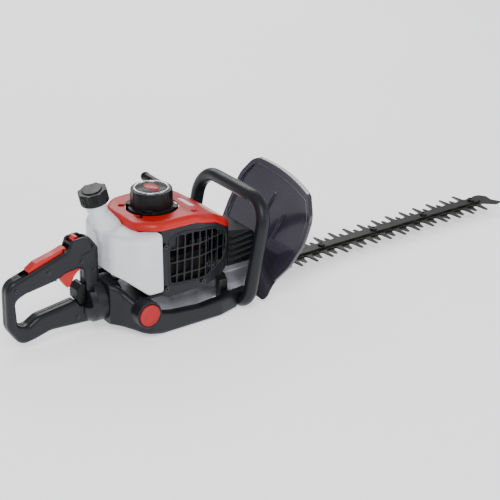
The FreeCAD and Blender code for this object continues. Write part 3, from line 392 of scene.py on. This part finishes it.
def turned(name, profile, centre, axis, slot, material, steps=64, squeeze=(1, 1)):
    """A lathe-turned piece on the root body: profile is (radius, height) pairs in millimetres."""
    bm = bmesh.new()
    rings = []
    for radius, height in profile:
        ring = []
        for k in range(steps if radius else 1):
            angle = 2 * math.pi * k / steps
            x = radius * squeeze[0] * math.cos(angle)
            y = radius * squeeze[1] * math.sin(angle)
            ring.append(bm.verts.new((x * MM, y * MM, height * MM)))
        rings.append(ring)
    for low, high in zip(rings, rings[1:]):
        for k in range(steps):
            n = (k + 1) % steps
            corners = [low[k % len(low)], low[n % len(low)], high[n % len(high)], high[k % len(high)]]
            bm.faces.new(list(dict.fromkeys(corners)))
    bmesh.ops.recalc_face_normals(bm, faces=bm.faces)
    mesh = mesh_from(bm, name)
    smooth(mesh)
    mesh.transform(Matrix.Translation(centre) @ turned_to(axis))
    return piece_of(name, mesh, "root", slot, material)


def ground_blade(node, side, chamfer=0.9, slope=0.8, level=0.99):
    """A cutting blade whose edges are ground on one face; its chamfers and side walls are painted paler,
    partly as ground steel and partly as a painted highlight along the teeth. side is 1 for the top and -1
    below.
    """
    mesh = welded(node)
    bm = bmesh.new()
    bm.from_mesh(mesh)
    bmesh.ops.dissolve_limit(bm, angle_limit=math.radians(1), verts=bm.verts, edges=bm.edges)
    flat = [face for face in bm.faces if face.normal.z * side > level]
    inset = bmesh.ops.inset_region(bm, faces=flat, thickness=chamfer * MM, use_even_offset=True,
                                   use_boundary=True)
    inner = {vert for face in flat for vert in face.verts}
    for vert in {vert for face in inset["faces"] for vert in face.verts} - inner:
        vert.co.z -= side * chamfer * slope * MM
    for face in bm.faces:
        face.smooth = False
    bm.normal_update()
    bm.to_mesh(mesh)
    bm.free()
    piece = piece_of(node + "_ground", mesh, BODY_OF[node], "blade_steel")
    piece.data.materials.append(GROUND_EDGE_AND_HIGHLIGHT)
    # Chamfers and side walls take the paler steel, partly a painted highlight on the tooth edges.
    for face in mesh.polygons:
        face.material_index = 0 if abs(face.normal.z) > level else 1
    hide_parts(node)


def bead_round(corners, onto, radius, pitch=4, widest=0.02):
    """A rounded bead that follows corners, (x, z) in order, over the near face of a mesh."""
    surface = surface_of(onto)
    points = []
    for k, (x, z) in enumerate(corners):
        after = corners[(k + 1) % len(corners)]
        steps = max(1, int(math.hypot(after[0] - x, after[1] - z) / pitch))
        for i in range(steps):
            u = i / steps
            spot = Vector(((x + (after[0] - x) * u) * MM, -0.3, (z + (after[1] - z) * u) * MM))
            hit = surface.ray_cast(spot, Vector((0, 1, 0)))[0]
            if hit:
                points.append(hit)
    bm = bmesh.new()
    for k, point in enumerate(points):
        along = points[(k + 1) % len(points)] - point
        if along.length > widest:
            continue
        bmesh.ops.create_cone(bm, cap_ends=True, segments=10, radius1=radius, radius2=radius,
                              depth=along.length + radius,
                              matrix=Matrix.Translation(point + along / 2) @ turned_to(along))
    return mesh_from(bm, "bead")


def draped_patch(name, corners, onto, slot, lift=0.25, steps=(28, 12), inset=0.22, taper=0.35):
    """A thin patch with rounded ends, laid on a root piece from above. corners are four (x, y) in order."""
    surface = surface_of(onto.data)
    a, b, c, d = [Vector((x * MM, y * MM, 0)) for x, y in corners]
    bm = bmesh.new()
    grid = []
    for i in range(steps[0] + 1):
        u = i / steps[0]
        edge = min(1.0, min(u, 1 - u) / inset)
        narrow = math.sqrt(1 - (1 - edge) ** 2) * taper + 1 - taper
        row = []
        for j in range(steps[1] + 1):
            v = 0.5 + (j / steps[1] - 0.5) * narrow
            spot = a.lerp(b, u).lerp(d.lerp(c, u), v)
            place, normal = surface.ray_cast(Vector((spot.x, spot.y, 0.4)), Vector((0, 0, -1)))[:2]
            row.append(bm.verts.new(place + normal * lift * MM))
        grid.append(row)
    for i in range(steps[0]):
        for j in range(steps[1]):
            bm.faces.new((grid[i][j], grid[i + 1][j], grid[i + 1][j + 1], grid[i][j + 1]))
    bmesh.ops.recalc_face_normals(bm, faces=bm.faces)
    piece = piece_of(name, mesh_from(bm, name), "root", slot)
    sheet = piece.modifiers.new("sheet", "SOLIDIFY")
    sheet.thickness = lift * MM
    sheet.offset = -1
    applied(piece)
    smooth(piece.data)
    paint(piece, PAINT[slot])


def starter_top():
    """Bright ring, gloss disc and a plain oval on the starter drum."""
    low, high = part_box("starter_badge")
    middle = (low + high) / 2
    centre = Vector((middle.x, middle.y, low.z))
    ring = ((27.0, -0.6), (27.0, 1.2), (27.8, 2.0), (29.6, 2.2), (30.6, 1.4), (30.6, -0.6), (27.0, -0.6))
    dome = ((0, -0.4), (26.8, -0.4), (26.8, 0.6), (25.2, 1.3), (12.0, 2.2), (0, 2.5))
    oval = ((0, 0.8), (18.5, 0.8), (19.0, 1.6), (16.0, 2.9), (8.0, 3.6), (0, 3.8))
    turned("starter_ring", ring, centre, UP, "steel", BRIGHT)
    disc = turned("starter_disc", dome, centre, UP, "black_plastic", GLOSS_BLACK)
    turned("starter_oval", oval, centre, UP, "red_plastic", GLOSS_RED, squeeze=(0.62, 1))
    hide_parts("starter_badge")


def damper_discs(sunk=0.0012):
    """Shallow dished discs in the frame, one on each side over a rear damper."""
    low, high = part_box("damper_caps")
    middle = (low + high) / 2
    dish = ((0, -3.0), (19.0, -3.0), (19.2, -0.4), (18.4, 0.6), (17.2, 0.8), (16.0, -0.2), (9.0, 0.6),
            (0, 1.0))
    for side, name, face_y in ((-1, "near", low.y), (1, "far", high.y)):
        centre = Vector((middle.x, face_y - side * sunk, middle.z))
        turned("damper_disc_" + name, dish, centre, (0, side, 0), "red_plastic", GLOSS_RED)
    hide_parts("damper_caps")


def starter_rope(rings=36, strands=24, braid=0.00022, end_gap=0.0008):
    """Rope between the starter's eye and its grip."""
    low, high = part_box("starter_rope")
    along = Vector((math.cos(ROPE_TILT), 0, math.sin(ROPE_TILT)))
    middle = (low + high) / 2
    reach = (high.x - low.x) / math.cos(ROPE_TILT) / 2 - end_gap
    start, end = middle - along * reach, middle + along * reach
    stand = turned_to(along)
    bm = bmesh.new()
    loops = []
    for i in range(rings + 1):
        u = i / rings
        loop = []
        for k in range(strands):
            angle = 2 * math.pi * k / strands
            radius = ROPE_R + braid * math.cos(4 * angle + 14 * u) * math.cos(4 * angle - 14 * u)
            spoke = stand @ Vector((radius * math.cos(angle), radius * math.sin(angle), 0))
            loop.append(bm.verts.new(start.lerp(end, u) + spoke))
        loops.append(loop)
    for near_loop, far_loop in zip(loops, loops[1:]):
        for k in range(strands):
            n = (k + 1) % strands
            bm.faces.new((near_loop[k], near_loop[n], far_loop[n], far_loop[k]))
    bm.faces.new(list(reversed(loops[0])))
    bm.faces.new(loops[-1])
    piece = bpy.data.objects.new("starter_rope_drawn", mesh_from(bm, "starter_rope_drawn"))
    bpy.context.scene.collection.objects.link(piece)
    paint(piece, PAINT["rubber"])
    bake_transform(piece)
    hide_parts("starter_rope")


# ---- the scene ------------------------------------------------------------------------------

def build_stage():
    bm = bmesh.new()
    bmesh.ops.create_grid(bm, x_segments=1, y_segments=1, size=12)
    floor = bpy.data.objects.new("floor", mesh_from(bm, "floor"))
    floor.location.z = -0.0006
    bpy.context.scene.collection.objects.link(floor)
    s = Shading("pale_floor", Emission_Color=(0.97, 0.98, 1.0, 1), Emission_Strength=0.75)
    s.link(s.ramp(s.noise(3, 2), (0.93, 0.93, 0.94), (0.95, 0.95, 0.95)), s.shader.inputs["Base Color"])
    s.link(s.span(s.noise(20, 2), 0.75, 0.85), s.shader.inputs["Roughness"])
    paint(floor, s.material)


def area_light(name, place, target, size, power):
    light = bpy.data.lights.new(name, "AREA")
    light.shape = "RECTANGLE"
    light.size, light.size_y = size
    light.energy = power
    lamp = bpy.data.objects.new(name, light)
    lamp.location = place
    lamp.rotation_euler = (Vector(target) - Vector(place)).to_track_quat("-Z", "Y").to_euler()
    bpy.context.scene.collection.objects.link(lamp)


def build_light():
    world = bpy.data.worlds.new("studio")
    world.use_nodes = True
    world.node_tree.nodes["Background"].inputs["Color"].default_value = (0.96, 0.97, 1.0, 1)
    world.node_tree.nodes["Background"].inputs["Strength"].default_value = 0.62
    bpy.context.scene.world = world
    area_light("key", (-1.5, -1.6, 2.4), (-0.1, 0, 0.05), (1.6, 1.2), 48)
    area_light("fill", (1.4, -2.2, 1.1), (0.1, 0, 0.05), (1.6, 1.6), 16)
    area_light("rim", (0.8, 2.2, 1.9), (0, 0, 0.1), (2.2, 1.0), 34)


def build_camera():
    camera = bpy.data.cameras.new("view")
    camera.sensor_width = 36
    camera.lens = 109.75
    camera.clip_end = 60
    eye = bpy.data.objects.new("view", camera)
    eye.location = (-1.4855, -2.0415, 1.1947)
    eye.rotation_euler = Vector((0.5232, 0.7445, -0.4147)).to_track_quat("-Z", "Y").to_euler()
    bpy.context.scene.collection.objects.link(eye)
    bpy.context.scene.camera = eye


def main():
    paint_frame()
    extras = {
        "starter_housing": [bars_round(DRUM_AXIS, UP, DRUM_R, 16, (0.0022, 0.0030, 0.0270), 0.2085)],
        "fuel_cap": [bars_round(NECK_TOP, CAP_AXIS, CAP_R, 32, (0.0024, 0.0020, 0.0150), 0.0085)],
        "muffler_guard": [bead_round(WINDOW, welded("muffler_guard"), BEAD_R)],
    }
    made = {}
    for node, (voxel, rounds, keep) in MOULDED.items():
        made[node] = moulded(node, voxel, rounds, keep, extras.get(node, ()), NODE_PAINT.get(node))
    ground_blade("upper_blade", 1)
    ground_blade("lower_blade", -1)
    starter_top()
    damper_discs()
    starter_rope()
    draped_patch("cover_label", LABEL, made["engine_cover"], "white_plastic")
    build_stage()
    build_light()
    build_camera()


main()
